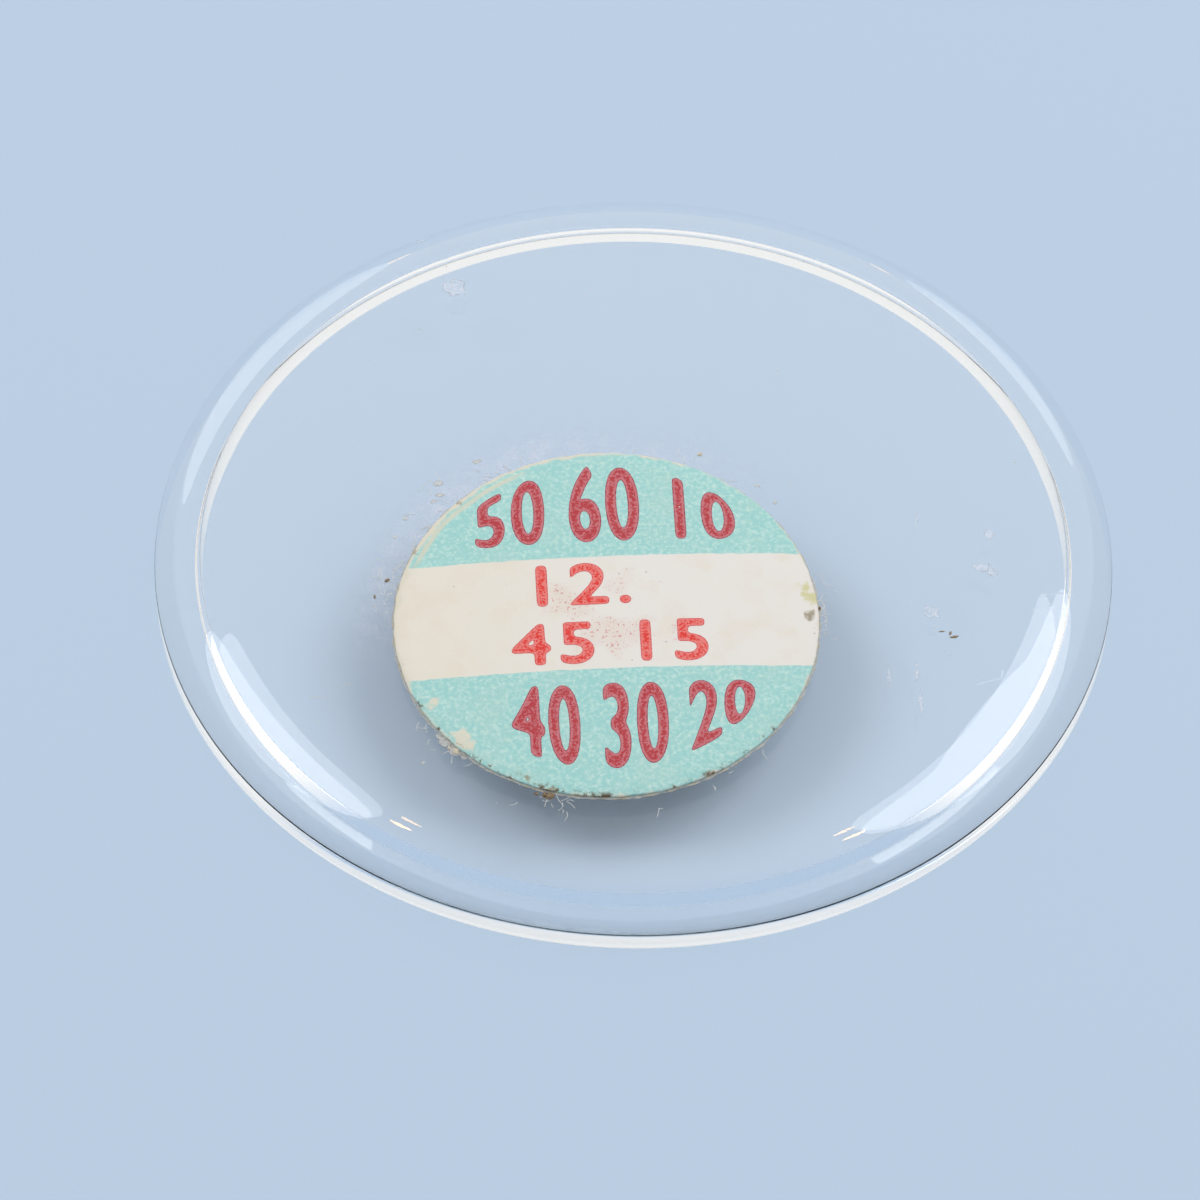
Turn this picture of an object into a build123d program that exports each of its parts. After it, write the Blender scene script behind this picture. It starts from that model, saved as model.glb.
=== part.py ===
from build123d import *
import os
from math import asin, cos, degrees, radians, sin, sqrt

# A domed acrylic watch crystal with a round paper label stuck on top of the dome.
# Millimetres, +Z up through the top of the dome, the origin at the centre of the
# rim's foot. The label is nearer to -Y, the side that faces the viewer.

os.makedirs("parts", exist_ok=True)

# Crystal, driving dimensions
crystal_diameter = 29.0
crystal_thickness = 0.8
rim_wall_height = 0.6
rim_wall_thickness = 1.5
dome_radius = 70.0
shoulder_radius = 3.5
edge_break_radius = 0.1
inner_dome_radius = 70.0
inner_shoulder_radius = 3.6
foot_chamfer = 0.05

# Slopes in degrees from level, where the outer shoulder reaches the edge break and
# where the inner shoulder reaches the upright inner wall
shoulder_edge_slope = 45.0
inner_shoulder_edge_slope = 25.0

# Label, driving dimensions
label_diameter = 12.7
label_offset_x = -0.79
label_offset_y = -4.1
adhesive_thickness = 0.04
adhesive_creep = 0.06
paper_thickness = 0.1
die_cut_depth = 2.0

# Outer curve of the crystal: edge break, shoulder and dome are arcs that run into
# each other without a corner, so each centre follows from the arc outside it
crystal_radius = crystal_diameter / 2
edge_slope = radians(shoulder_edge_slope)
edge_centre_x = crystal_radius - edge_break_radius
edge_to_shoulder = shoulder_radius - edge_break_radius
shoulder_centre_x = edge_centre_x - edge_to_shoulder * sin(edge_slope)
shoulder_centre_z = rim_wall_height - edge_to_shoulder * cos(edge_slope)
shoulder_to_dome = dome_radius - shoulder_radius
dome_edge_slope = asin(shoulder_centre_x / shoulder_to_dome)
dome_centre_z = shoulder_centre_z - shoulder_to_dome * cos(dome_edge_slope)
dome_top_z = dome_centre_z + dome_radius

# Inner curve: a dome of its own and a shoulder that meets the upright inner wall in a
# corner, so that the moulding is thickest at the rim
inner_wall_radius = crystal_radius - rim_wall_thickness
inner_edge_slope = radians(inner_shoulder_edge_slope)
inner_centre_x = inner_wall_radius - inner_shoulder_radius * sin(inner_edge_slope)
inner_top_z = dome_top_z - crystal_thickness
inner_to_dome = inner_dome_radius - inner_shoulder_radius
inner_dome_edge_slope = asin(inner_centre_x / inner_to_dome)

# The crystal is one moulding: half of its section, turned about the axis
with BuildPart() as crystal:
    with BuildSketch(Plane.XZ):
        with BuildLine():
            foot = Line(
                (inner_wall_radius + foot_chamfer, 0),
                (crystal_radius - foot_chamfer, 0),
            )
            lead_in = Line(foot @ 1, (crystal_radius, foot_chamfer))
            rim_wall = Line(lead_in @ 1, (crystal_radius, rim_wall_height))
            edge_break = JernArc(
                rim_wall @ 1, rim_wall % 1, edge_break_radius, 90 - shoulder_edge_slope
            )
            shoulder = JernArc(
                edge_break @ 1,
                edge_break % 1,
                shoulder_radius,
                shoulder_edge_slope - degrees(dome_edge_slope),
            )
            dome = JernArc(
                shoulder @ 1, shoulder % 1, dome_radius, degrees(dome_edge_slope)
            )
            middle = Line(dome @ 1, (0, inner_top_z))
            inner_dome = JernArc(
                middle @ 1, (1, 0), inner_dome_radius, -degrees(inner_dome_edge_slope)
            )
            inner_shoulder = JernArc(
                inner_dome @ 1,
                inner_dome % 1,
                inner_shoulder_radius,
                degrees(inner_dome_edge_slope) - inner_shoulder_edge_slope,
            )
            inner_wall = Line(inner_shoulder @ 1, (inner_wall_radius, foot_chamfer))
            Line(inner_wall @ 1, foot @ 0)
        make_face()
    revolve(axis=Axis.Z)
crystal.part.label = "crystal"
export_step(crystal.part, "parts/crystal.step")

# The label lies on the dome, so its own axis runs from the dome's centre of
# curvature out through the middle of the label
label_rise = sqrt(dome_radius**2 - label_offset_x**2 - label_offset_y**2)
label_plane = Plane(
    origin=(0, 0, dome_centre_z),
    z_dir=(label_offset_x, label_offset_y, label_rise),
)


def sheet_on_dome(under_radius, thickness, disc_radius):
    """A round sheet that keeps to the curve of the dome, die-cut along its own axis.

    The spheres lie on their side, which keeps their poles out of the sheet.
    """
    on_its_side = (90, 0, 0)
    with BuildPart() as sheet:
        with Locations(label_plane):
            Sphere(under_radius + thickness, rotation=on_its_side)
            Sphere(under_radius, rotation=on_its_side, mode=Mode.SUBTRACT)
            with Locations((0, 0, under_radius)):
                Cylinder(disc_radius, die_cut_depth, mode=Mode.INTERSECT)
    return sheet


# The adhesive has crept a little way out from under the paper
label_adhesive = sheet_on_dome(
    dome_radius, adhesive_thickness, label_diameter / 2 + adhesive_creep
)
label_adhesive.part.label = "label_adhesive"
export_step(label_adhesive.part, "parts/label_adhesive.step")

# The printed paper of the label
label_paper = sheet_on_dome(
    dome_radius + adhesive_thickness, paper_thickness, label_diameter / 2
)
label_paper.part.label = "label_paper"
export_step(label_paper.part, "parts/label_paper.step")

print("height of the dome", round(dome_top_z, 3))
print("upright inner wall ends at", round((inner_shoulder @ 1).Y, 3))
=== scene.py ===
# %% [markdown]
# # A watch crystal with a paper label
#
# This lesson dresses a small, clear, domed watch crystal that lies rim down, with a
# round printed label stuck on top of it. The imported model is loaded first. It says
# where everything is, so each new piece below is made in its place and needs no
# fitting. Lengths are in metres, and MM turns millimetres into them.

from math import asin, ceil, cos, degrees, floor, hypot, pi, radians, sin, sqrt, tan
from random import Random

import bmesh
import bpy
from mathutils import Matrix, Vector, noise
from mathutils.kdtree import KDTree


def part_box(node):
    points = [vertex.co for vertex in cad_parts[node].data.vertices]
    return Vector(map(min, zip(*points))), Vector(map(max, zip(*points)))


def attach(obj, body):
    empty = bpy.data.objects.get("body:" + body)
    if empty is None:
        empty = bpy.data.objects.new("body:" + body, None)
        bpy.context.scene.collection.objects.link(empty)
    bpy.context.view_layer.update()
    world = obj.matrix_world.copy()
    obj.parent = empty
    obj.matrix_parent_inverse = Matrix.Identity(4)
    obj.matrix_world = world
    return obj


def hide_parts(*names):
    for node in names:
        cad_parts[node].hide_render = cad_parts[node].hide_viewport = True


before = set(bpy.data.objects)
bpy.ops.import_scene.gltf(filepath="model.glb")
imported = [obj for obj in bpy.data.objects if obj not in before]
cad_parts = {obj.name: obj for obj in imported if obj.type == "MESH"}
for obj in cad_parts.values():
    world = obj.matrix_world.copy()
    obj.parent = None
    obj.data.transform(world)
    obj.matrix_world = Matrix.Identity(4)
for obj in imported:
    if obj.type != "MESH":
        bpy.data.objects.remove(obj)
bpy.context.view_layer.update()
MM = 0.001
print("nodes", sorted(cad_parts))

# %% [markdown]
# ## Sizes
#
# The crystal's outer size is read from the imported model. The radii of its curves are
# the ones that it was designed with, and every centre follows from them, because each
# arc runs into the next without a corner.

# %% Sizes of the crystal
crystal_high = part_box("crystal")[1]
crystal_radius = crystal_high.x
dome_top_z = crystal_high.z

dome_radius = 70 * MM
shoulder_radius = 3.5 * MM
edge_break_radius = 0.1 * MM
shoulder_edge_slope = radians(45)
rim_wall_height = 0.6 * MM
foot_width = 1.5 * MM
foot_chamfer = 0.05 * MM
crystal_thickness = 0.8 * MM
inner_dome_radius = 70 * MM
inner_shoulder_radius = 3.6 * MM
inner_shoulder_edge_slope = radians(25)
print("crystal", round(2 * crystal_radius / MM, 2), "mm across")

# %% Centres of the crystal's arcs
dome_centre_z = dome_top_z - dome_radius
edge_break_x = crystal_radius - edge_break_radius
edge_to_shoulder = shoulder_radius - edge_break_radius
shoulder_x = edge_break_x - edge_to_shoulder * sin(shoulder_edge_slope)
shoulder_z = rim_wall_height - edge_to_shoulder * cos(shoulder_edge_slope)
dome_edge_slope = asin(shoulder_x / (dome_radius - shoulder_radius))

inner_wall_radius = crystal_radius - foot_width
inner_dome_top_z = dome_top_z - crystal_thickness
inner_dome_z = inner_dome_top_z - inner_dome_radius
inner_reach = inner_dome_radius - inner_shoulder_radius
inner_x = inner_wall_radius - inner_shoulder_radius * sin(inner_shoulder_edge_slope)
inner_dome_edge_slope = asin(inner_x / inner_reach)
inner_z = inner_dome_z + inner_reach * cos(inner_dome_edge_slope)
print("inner shoulder centre", round(inner_x / MM, 2), round(inner_z / MM, 2))

# %% [markdown]
# ## Small helpers
#
# Every material below is built from nodes. One function turns a colour, as a paint
# program writes it, into the linear numbers that a shader needs, and one adds a node
# with its settings and links. Four more are built on them: they begin a material, lay
# colours over each other, end a material, and make a plain rough one in one go. The
# last helper makes an object from a finished bmesh.


# %% Helpers for colours and nodes
# A Map Range node with this setting eases in and out at the ends of its range
eased = {"interpolation_type": "SMOOTHSTEP"}


def linear(hex_colour):
    """The linear colour, with full alpha, of an sRGB hex value such as "AFD5CF"."""
    channels = [int(hex_colour[i : i + 2], 16) / 255 for i in (0, 2, 4)]
    return [c / 12.92 if c <= 0.04045 else ((c + 0.055) / 1.055) ** 2.4 for c in channels] + [1]


def add_node(tree, kind, inputs=None, **settings):
    """A node of that kind. Each input is a value, or a socket or node to link from.

    An input is found by its number or name. Where several share a name, as on Mix, it
    is the one in use, and a node that is linked from gives its first output in use.
    """
    node = tree.nodes.new(kind)
    for name, value in settings.items():
        setattr(node, name, value)
    for key, value in (inputs or {}).items():
        named = (s for s in node.inputs if s.enabled and s.name == key)
        socket = node.inputs[key] if isinstance(key, int) else next(named)
        if isinstance(value, bpy.types.Node):
            value = next(s for s in value.outputs if s.enabled)
        if isinstance(value, bpy.types.NodeSocket):
            tree.links.new(value, socket)
        else:
            socket.default_value = value
    return node


print("mid grey is", round(linear("808080")[0], 3), "in linear light")


# %% Helpers for materials and pieces
def new_material(name):
    """An empty material and its node tree."""
    material = bpy.data.materials.new(name)
    material.use_nodes = True
    material.node_tree.nodes.clear()
    return material, material.node_tree


def lay_over(tree, colour, *marks):
    """The colour with marks over it, each a mask between 0 and 1 and a hex value."""
    for mask, hex_colour in marks:
        colour = add_node(
            tree,
            "ShaderNodeMix",
            {"Factor": mask, "A": colour, "B": linear(hex_colour)},
            data_type="RGBA",
        )
    return colour


def finish_material(tree, shader):
    """Links the shader to the material's output."""
    add_node(tree, "ShaderNodeOutputMaterial", {"Surface": shader})


def rough_material(name, hex_colour, roughness, alpha=1):
    """A plain rough material of one colour."""
    material, tree = new_material(name)
    shader = add_node(
        tree,
        "ShaderNodeBsdfPrincipled",
        {"Base Color": linear(hex_colour), "Roughness": roughness, "Alpha": alpha},
    )
    finish_material(tree, shader)
    return material


def place_mesh(name, bm, *materials):
    """A bmesh as an object at the origin, smooth shaded, with its materials."""
    mesh = bpy.data.meshes.new(name)
    bm.to_mesh(mesh)
    bm.free()
    piece = bpy.data.objects.new(name, mesh)
    bpy.context.scene.collection.objects.link(piece)
    for material in materials:
        mesh.materials.append(material)
    mesh.shade_smooth()
    print(name, len(mesh.polygons), "faces")
    return piece


# %% [markdown]
# ## The clear moulding
#
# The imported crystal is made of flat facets, and glass shows every one of them. So the
# same section is turned again here, fine enough for clean reflections. A single
# vertex starts on the axis. The spin operator swings it round the centre of each arc
# in turn, extrude pulls it along the straight runs, and one last full spin about the
# vertical axis turns the closed section into the moulding.


# %% Helpers for a turned section
merge_distance = 0.0001 * MM


def swing(bm, point, centre_x, centre_z, angle, steps):
    """Draws an arc from the point about a centre, and gives the arc's far end."""
    spun = bmesh.ops.spin(
        bm,
        geom=[point],
        cent=(centre_x, 0, centre_z),
        axis=(0, 1, 0),
        angle=angle,
        steps=steps,
    )
    return next(g for g in spun["geom_last"] if isinstance(g, bmesh.types.BMVert))


def pull(bm, point, x, z):
    """Draws a straight run from the point, and gives the run's far end."""
    pulled = bmesh.ops.extrude_vert_indiv(bm, verts=[point])["verts"][0]
    pulled.co = (x, 0, z)
    return pulled


def soften(bm, corners, offset, segments):
    """Rounds the corners of a section."""
    bmesh.ops.bevel(
        bm,
        geom=corners,
        offset=offset,
        segments=segments,
        profile=0.5,
        affect="VERTICES",
        material=-1,
    )


def turn_section(bm, steps):
    """Turns a section about the vertical axis, closes the seam and faces outwards."""
    bmesh.ops.spin(
        bm,
        geom=bm.verts[:] + bm.edges[:],
        cent=(0, 0, 0),
        axis=(0, 0, 1),
        angle=2 * pi,
        steps=steps,
        use_merge=True,
    )
    bmesh.ops.remove_doubles(bm, verts=bm.verts, dist=merge_distance)
    bmesh.ops.recalc_face_normals(bm, faces=bm.faces)


print("vertices closer than", merge_distance / MM, "mm are merged")


# %% Draw the section with one travelling vertex
dome_steps = 32
shoulder_steps = 24
edge_break_steps = 8
inner_shoulder_steps = 20


def draw_section(bm):
    """The outer curve, the foot and the inner curve, from axis to axis."""
    point = bmesh.ops.create_vert(bm, co=(0, 0, dome_top_z))["vert"][0]
    point = swing(bm, point, 0, dome_centre_z, dome_edge_slope, dome_steps)
    turn = shoulder_edge_slope - dome_edge_slope
    point = swing(bm, point, shoulder_x, shoulder_z, turn, shoulder_steps)
    turn = pi / 2 - shoulder_edge_slope
    point = swing(bm, point, edge_break_x, rim_wall_height, turn, edge_break_steps)
    corners = [pull(bm, point, crystal_radius, foot_chamfer)]
    corners.append(pull(bm, corners[-1], crystal_radius - foot_chamfer, 0))
    corners.append(pull(bm, corners[-1], inner_wall_radius + foot_chamfer, 0))
    corners.append(pull(bm, corners[-1], inner_wall_radius, foot_chamfer))
    wall_top = inner_z + inner_shoulder_radius * cos(inner_shoulder_edge_slope)
    point = pull(bm, corners[-1], inner_wall_radius, wall_top)
    corners.append(point)
    turn = inner_dome_edge_slope - inner_shoulder_edge_slope
    point = swing(bm, point, inner_x, inner_z, turn, inner_shoulder_steps)
    swing(bm, point, 0, inner_dome_z, -inner_dome_edge_slope, dome_steps)
    return corners


crystal_bm = bmesh.new()
corners = draw_section(crystal_bm)
print("section", len(crystal_bm.verts), "vertices")

# %% Soften its corners and turn it
corner_softness = 0.02 * MM
corner_segments = 3
moulding_steps = 256

soften(crystal_bm, corners, corner_softness, corner_segments)
turn_section(crystal_bm, moulding_steps)
open_edges = [e for e in crystal_bm.edges if not e.is_manifold]
print("moulding", len(crystal_bm.faces), "faces,", len(open_edges), "open edges")

# %% [markdown]
# ## Acrylic
#
# The real crystal is moulded poly(methyl methacrylate), clear as water, with an index
# of refraction of 1.49. Polished, it shows sharp, faint reflections, and it bends the
# light at its rim into bright and dark bands. Lamps shine through it, so shadow rays
# and the light between the surfaces under it pass: otherwise it would cast the shadow
# of a solid thing, or light what it covers twice. Years of wiping leave hairlines,
# which are a very shallow bump here.


# %% Hairlines
hairline_spacing = 5 * MM
hairline_width = 0.03 * MM
hairline_depth = 0.004 * MM
warp_size = 9 * MM
warp_reach = 6 * MM
wiped_patch_size = 4 * MM


def hairlines(tree, coordinates):
    """Thin broken scratches: the borders of warped cells, cut off by a coarse noise."""
    warp = add_node(tree, "ShaderNodeTexNoise", {"Vector": coordinates, "Scale": 1 / warp_size})
    bent = add_node(
        tree,
        "ShaderNodeVectorMath",
        {0: warp.outputs["Color"], 1: (warp_reach,) * 3, 2: coordinates},
        operation="MULTIPLY_ADD",
    )
    cells = add_node(
        tree,
        "ShaderNodeTexVoronoi",
        {"Vector": bent, "Scale": 1 / hairline_spacing},
        feature="DISTANCE_TO_EDGE",
    )
    line = add_node(
        tree,
        "ShaderNodeMapRange",
        {"Value": cells, "From Max": hairline_width / hairline_spacing, "To Min": 1, "To Max": 0},
    )
    patches = add_node(
        tree, "ShaderNodeTexNoise", {"Vector": coordinates, "Scale": 1 / wiped_patch_size}
    )
    keep = add_node(
        tree, "ShaderNodeMapRange", {"Value": patches, "From Min": 0.56, "From Max": 0.66}
    )
    return add_node(tree, "ShaderNodeMath", {0: line, 1: keep}, operation="MULTIPLY")


print("hairlines about", hairline_spacing / MM, "mm apart")


# %% Acrylic material
acrylic_ior = 1.49


def acrylic_material():
    """Clear and polished, and open to shadow rays and to the light beneath it."""
    material, tree = new_material("moulded_acrylic")
    place = add_node(tree, "ShaderNodeTexCoord").outputs["Object"]
    bump = add_node(
        tree,
        "ShaderNodeBump",
        {"Height": hairlines(tree, place), "Strength": 0.15, "Distance": hairline_depth},
    )
    acrylic = add_node(
        tree,
        "ShaderNodeBsdfPrincipled",
        {
            "Base Color": linear("FCFDFE"),
            "Roughness": 0.0,
            "IOR": acrylic_ior,
            "Transmission Weight": 1.0,
            "Normal": bump,
        },
    )
    light_path = add_node(tree, "ShaderNodeLightPath")
    open_air = add_node(tree, "ShaderNodeBsdfTransparent")
    shader = acrylic
    for ray in ("Is Diffuse Ray", "Is Shadow Ray"):
        shader = add_node(
            tree, "ShaderNodeMixShader", {0: light_path.outputs[ray], 1: shader, 2: open_air}
        )
    finish_material(tree, shader)
    return material


crystal = place_mesh("clear_moulding", crystal_bm, acrylic_material())
sharpest_smooth_corner = radians(35)
crystal.data.set_sharp_from_angle(angle=sharpest_smooth_corner)
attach(crystal, "root")
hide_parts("crystal")

# %% [markdown]
# ## Where the label lies
#
# The label is a disc bent over the dome, so everything on it is drawn upright over the
# dome's centre of curvature first, and then tipped over by one matrix. Its print was
# not quite straight on the disc.

# %% The label's own axis
label_x = -0.79 * MM
label_y = -4.1 * MM
label_radius = 6.35 * MM
adhesive_thickness = 0.04 * MM
paper_thickness = 0.1 * MM
paper_top_radius = dome_radius + adhesive_thickness + paper_thickness
print_turn = radians(3.6)

label_up = Vector((label_x, label_y, sqrt(dome_radius**2 - label_x**2 - label_y**2)))
tip_over = Vector((0, 0, 1)).rotation_difference(label_up).to_matrix().to_4x4()
label_place = Matrix.Translation((0, 0, dome_centre_z)) @ tip_over
print("label", round(2 * label_radius / MM, 2), "mm across, tipped over", label_place.to_euler())


# %% [markdown]
# ## Sheets that follow the dome
#
# The adhesive film and the paper are thin discs with the curve of the dome. Each is
# turned from half of its section, like the moulding. A die leaves a slightly ragged
# edge on paper, and adhesive creeps out of it unevenly, so the outermost points move
# in and out a little with a smooth noise.


# %% Turn a bent disc
disc_top_steps = 14
disc_underside_steps = 6
disc_turning_steps = 384


def bent_disc(under_radius, thickness, disc_radius, raggedness, grain):
    """A round sheet, over the centre of the dome's curve and then tipped into place."""
    bm = bmesh.new()
    half_angle = asin(disc_radius / under_radius)
    top = under_radius + thickness
    point = bmesh.ops.create_vert(bm, co=(0, 0, top))["vert"][0]
    point = swing(bm, point, 0, 0, half_angle, disc_top_steps)
    foot_x = under_radius * sin(half_angle)
    foot_z = under_radius * cos(half_angle)
    edge = [point, pull(bm, point, foot_x, foot_z)]
    swing(bm, edge[1], 0, 0, -half_angle, disc_underside_steps)
    soften(bm, edge, thickness / 3, 2)
    turn_section(bm, disc_turning_steps)
    for vertex in bm.verts:
        reach = hypot(vertex.co.x, vertex.co.y)
        if reach > disc_radius - 2 * raggedness:
            outwards = Vector((vertex.co.x, vertex.co.y, 0)) / reach
            vertex.co += outwards * raggedness * noise.noise(outwards * disc_radius / grain)
    bmesh.ops.transform(bm, matrix=label_place, verts=bm.verts)
    return bm


print("discs are turned in", disc_turning_steps, "steps")

# %% [markdown]
# ## Printed paper
#
# The label is uncoated paper. A press laid a pale green-blue ink on it and left a
# straight band bare. Under a lens, the ink breaks up over the paper's fibres, it is
# rubbed off along the cut edge, and the edge has taken up grime and yellowed glue.
# All of that follows the label's own flat coordinates in millimetres, which a Mapping
# node takes from the object's. Each mark is a mask that lays one more colour over what
# is below it.


# %% The print's own coordinates
def label_coordinates(tree):
    """Millimetres along and across the print, from the middle of the label."""
    place = add_node(tree, "ShaderNodeTexCoord").outputs["Object"]
    return add_node(
        tree,
        "ShaderNodeMapping",
        {
            "Vector": place,
            "Location": (label_x, label_y, dome_top_z),
            "Rotation": (0, 0, print_turn),
            "Scale": (MM, MM, MM),
        },
        vector_type="TEXTURE",
    )


def distance_from(tree, flat, along, across):
    """Millimetres from a point of the print, leaving the height out."""
    away = add_node(
        tree, "ShaderNodeVectorMath", {0: flat, 1: (along, across, 0)}, operation="SUBTRACT"
    )
    away = add_node(tree, "ShaderNodeVectorMath", {0: away, 1: (1, 1, 0)}, operation="MULTIPLY")
    return add_node(tree, "ShaderNodeVectorMath", {0: away}, operation="LENGTH")


def label_measures(tree):
    """The print's coordinates, and the measures of them that the masks below read."""
    flat = label_coordinates(tree)
    split = add_node(tree, "ShaderNodeSeparateXYZ", {0: flat})
    along, across = split.outputs[0], split.outputs[1]
    reach = distance_from(tree, flat, 0, 0)
    leaning = add_node(tree, "ShaderNodeMath", {0: across, 1: along}, operation="SUBTRACT")
    return flat, along, across, reach, leaning


print("the print is turned by", round(degrees(print_turn), 1), "degrees")


# %% Where the press laid its ink
bare_band_middle = 0.18
bare_band_half = 2.08
border_grain = 0.35
border_wander = 0.07
border_softness = 0.02


def press_mask(tree, flat, across):
    """Above and below the bare band, with a border that wanders with the fibres."""
    wander = add_node(tree, "ShaderNodeTexNoise", {"Vector": flat, "Scale": 1 / border_grain})
    height = add_node(
        tree, "ShaderNodeMath", {0: wander, 1: border_wander, 2: across}, operation="MULTIPLY_ADD"
    )
    middle = bare_band_middle + border_wander / 2
    offset = add_node(tree, "ShaderNodeMath", {0: height, 1: middle}, operation="SUBTRACT")
    distance = add_node(tree, "ShaderNodeMath", {0: offset}, operation="ABSOLUTE")
    return add_node(
        tree,
        "ShaderNodeMapRange",
        {
            "Value": distance,
            "From Min": bare_band_half - border_softness,
            "From Max": bare_band_half + border_softness,
        },
        **eased,
    )


print("bare band", 2 * bare_band_half, "mm wide")


# %% Where the edge is rubbed and creased
rub_grain = 0.6
rub_unevenness = 0.42
crease_from_edge = 0.36
crease_wave = 1.1
crease_wander = 0.16


def rub_mask(tree, flat, edge_distance, leaning):
    """The rubbed rim, widest at the upper left, where the ink is down to the paper."""
    width = add_node(
        tree,
        "ShaderNodeMapRange",
        {"Value": leaning, "From Min": -1, "From Max": 8, "To Min": -0.06, "To Max": 0.07},
    )
    ragged = add_node(
        tree, "ShaderNodeTexNoise", {"Vector": flat, "Scale": 1 / rub_grain, "Detail": 4}
    )
    line = add_node(
        tree, "ShaderNodeMath", {0: ragged, 1: rub_unevenness, 2: width}, operation="MULTIPLY_ADD"
    )
    inside = add_node(tree, "ShaderNodeMath", {0: edge_distance, 1: line}, operation="SUBTRACT")
    return add_node(
        tree,
        "ShaderNodeMapRange",
        {"Value": inside, "From Min": -0.1, "From Max": -0.24},
        **eased,
    )


def crease_mask(tree, flat, edge_distance, leaning):
    """A crease beside the edge at the upper left, where the ink has cracked off."""
    wander = add_node(tree, "ShaderNodeTexNoise", {"Vector": flat, "Scale": 1 / crease_wave})
    place = add_node(
        tree,
        "ShaderNodeMath",
        {0: wander, 1: crease_wander, 2: edge_distance},
        operation="MULTIPLY_ADD",
    )
    offset = add_node(
        tree, "ShaderNodeMath", {0: place, 1: crease_from_edge}, operation="SUBTRACT"
    )
    distance = add_node(tree, "ShaderNodeMath", {0: offset}, operation="ABSOLUTE")
    line = add_node(
        tree,
        "ShaderNodeMapRange",
        {"Value": distance, "From Min": 0.11, "From Max": 0.05, "To Max": 0.8},
        **eased,
    )
    window = add_node(
        tree, "ShaderNodeMapRange", {"Value": leaning, "From Min": 7.7, "From Max": 8.2}, **eased
    )
    return add_node(tree, "ShaderNodeMath", {0: line, 1: window}, operation="MULTIPLY")


print("crease", crease_from_edge, "mm from the edge")


# %% Where the paper is worn or stained
spot_grain = 0.25
spot_raggedness = 0.7
# Along the print, across it and the size, in millimetres
worn_spots = ((-4.5, -4.05, 0.3), (-4.3, -4.3, 0.2), (-5.3, -2.7, 0.17))
glue_stains = ((6.17, 0.62, 0.26), (6.05, 1.0, 0.16))
dirt_spots = (
    (-2.88, -5.43, 0.14),
    (-2.6, -5.6, 0.16),
    (-1.95, -6.02, 0.16),
    (6.1, -0.05, 0.1),
    (-5.6, 2.92, 0.1),
    (-4.27, 4.67, 0.06),
)


def spots_mask(tree, flat, spots):
    """Ragged spots on the paper, such as where the ink is worn down to it."""
    ragged = add_node(
        tree, "ShaderNodeTexNoise", {"Vector": flat, "Scale": 1 / spot_grain, "Detail": 3}
    )
    total = 0.0
    for along, across, size in spots:
        away = distance_from(tree, flat, along, across)
        uneven = add_node(
            tree,
            "ShaderNodeMath",
            {0: ragged, 1: -spot_raggedness, 2: away},
            operation="MULTIPLY_ADD",
        )
        spot = add_node(
            tree,
            "ShaderNodeMapRange",
            {"Value": uneven, "From Min": size - 0.28, "From Max": size - 0.46, "To Max": 0.85},
            **eased,
        )
        total = add_node(tree, "ShaderNodeMath", {0: spot, 1: total}, operation="MAXIMUM")
    return total


print(len(worn_spots), "worn spots,", len(glue_stains), "stains,", len(dirt_spots), "dirty spots")


# %% Where the paper is dirty or speckled
grime_clot_size = 0.5
speck_size = 0.09
smudge = 0.07
speck_patch_size = 1.6


def grime_mask(tree, flat, edge_distance, across):
    """Broken dark dirt that sticks to the lower edge."""
    clots = add_node(
        tree,
        "ShaderNodeTexNoise",
        {"Vector": flat, "Scale": 1 / grime_clot_size, "Detail": 5, "Roughness": 0.75},
    )
    low = add_node(
        tree,
        "ShaderNodeMapRange",
        {"Value": across, "From Min": -2, "From Max": -5.5, "To Min": 0.62, "To Max": 0.5},
    )
    excess = add_node(tree, "ShaderNodeMath", {0: clots, 1: low}, operation="SUBTRACT")
    broken = add_node(tree, "ShaderNodeMapRange", {"Value": excess, "From Max": 0.1}, **eased)
    near = add_node(
        tree,
        "ShaderNodeMapRange",
        {"Value": edge_distance, "From Min": 0.2, "From Max": 0.02},
        **eased,
    )
    return add_node(tree, "ShaderNodeMath", {0: broken, 1: near}, operation="MULTIPLY")


def speck_mask(tree, flat, reach):
    """Specks and smudges of the stamp's red ink, in a few patches among the numbers."""
    fine = add_node(
        tree,
        "ShaderNodeTexNoise",
        {"Vector": flat, "Scale": 1 / speck_size, "Detail": 2, "Roughness": 0.7},
    )
    specks = add_node(
        tree,
        "ShaderNodeMapRange",
        {"Value": fine, "From Min": 0.58, "From Max": 0.68, "To Max": 0.75},
        **eased,
    )
    coarse = add_node(tree, "ShaderNodeTexNoise", {"Vector": flat, "Scale": 1 / speck_patch_size})
    near_numbers = add_node(
        tree,
        "ShaderNodeMapRange",
        {"Value": reach, "From Min": 3.6, "From Max": 1, "To Min": -0.2, "To Max": 0.16},
    )
    both = add_node(tree, "ShaderNodeMath", {0: coarse, 1: near_numbers})
    patches = add_node(
        tree, "ShaderNodeMapRange", {"Value": both, "From Min": 0.6, "From Max": 0.72}, **eased
    )
    smudged = add_node(tree, "ShaderNodeMath", {0: specks, 1: smudge})
    return add_node(tree, "ShaderNodeMath", {0: smudged, 1: patches}, operation="MULTIPLY")


print("specks of red", speck_size, "mm across")


# %% Bare paper and the press's ink
cloud_size = 1.3


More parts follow.
